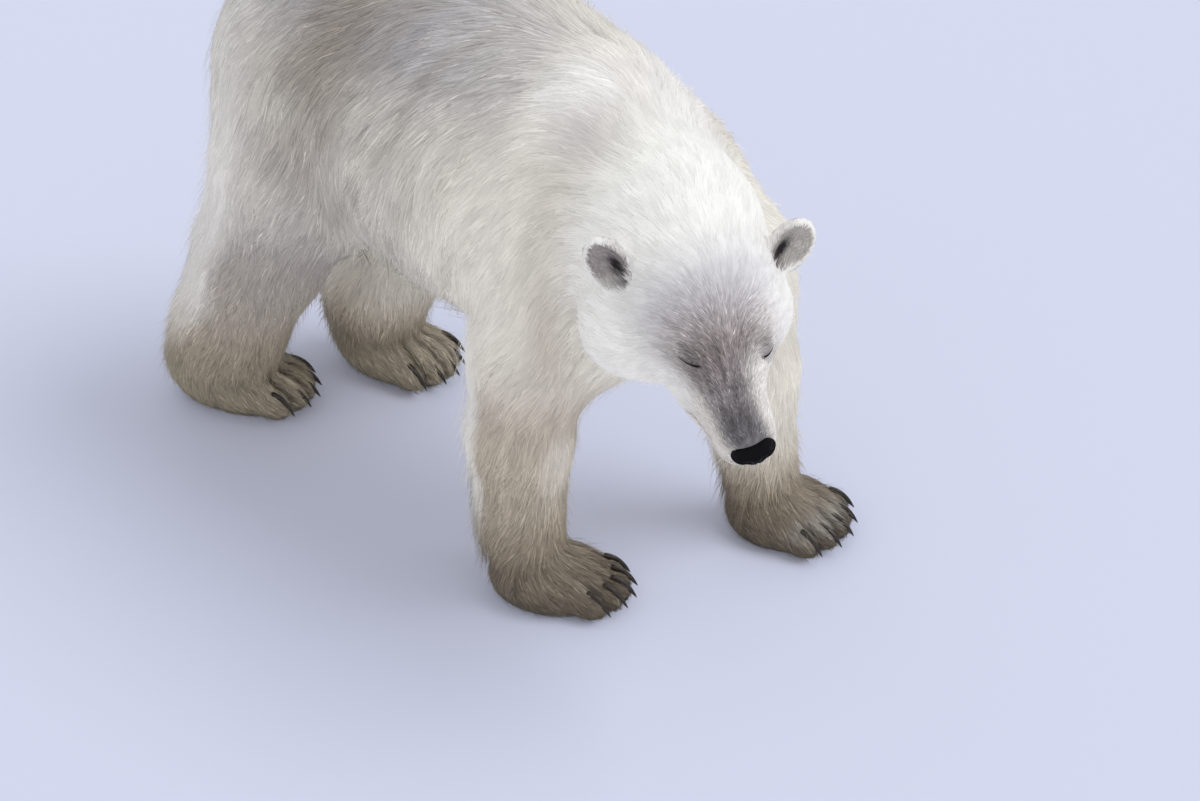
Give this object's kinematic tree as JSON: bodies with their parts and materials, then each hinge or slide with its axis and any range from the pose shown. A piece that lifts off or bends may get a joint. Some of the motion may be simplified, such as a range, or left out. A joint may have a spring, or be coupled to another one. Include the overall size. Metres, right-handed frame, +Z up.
{
  "type": "polar bear",
  "caption": "Life-size standing polar bear with a lowered, turned head, thick pale coat, rounded ears, dark leathery nose and clawed paws, for a still display",
  "frame": {"origin": "middle of the bottom of the box round the bear, on the floor between its feet", "axes": "+Z up; the bear faces -Y, so +Y is its length towards the tail; +X is the bear's left side"},
  "size_m": [0.6832, 1.489, 1.0158],
  "materials": {
    "coat": "long off-white fur lying backwards and down, greyer on the flanks",
    "paw_fur": "short grey-brown fur lying along the toes",
    "claw": "dark brown-black horn, browner at the tips",
    "nose_leather": "black pebbled skin with a slight sheen",
    "eye": "dark wet eye behind closed lids"
  },
  "bodies": {
    "root": {"front_right_paw": "paw_fur", "front_right_shank": "coat", "front_right_upper": "coat", "front_right_claw_1": "claw", "front_right_claw_2": "claw", "front_right_claw_3": "claw", "front_right_claw_4": "claw", "front_right_claw_5": "claw", "front_left_paw": "paw_fur", "front_left_shank": "coat", "front_left_upper": "coat", "front_left_claw_1": "claw", "front_left_claw_2": "claw", "front_left_claw_3": "claw", "front_left_claw_4": "claw", "front_left_claw_5": "claw", "rear_right_paw": "paw_fur", "rear_right_shank": "coat", "rear_right_upper": "coat", "rear_right_claw_1": "claw", "rear_right_claw_2": "claw", "rear_right_claw_3": "claw", "rear_right_claw_4": "claw", "rear_right_claw_5": "claw", "rear_left_paw": "paw_fur", "rear_left_shank": "coat", "rear_left_upper": "coat", "rear_left_claw_1": "claw", "rear_left_claw_2": "claw", "rear_left_claw_3": "claw", "rear_left_claw_4": "claw", "rear_left_claw_5": "claw", "lower_jaw": "coat", "head": "coat", "neck": "coat", "chest": "coat", "barrel": "coat", "rump": "coat", "ear_left": "coat", "ear_right": "coat", "tail": "coat", "nose": "nose_leather", "eye_left": "eye", "eye_right": "eye"}
  },
  "joints": []
}
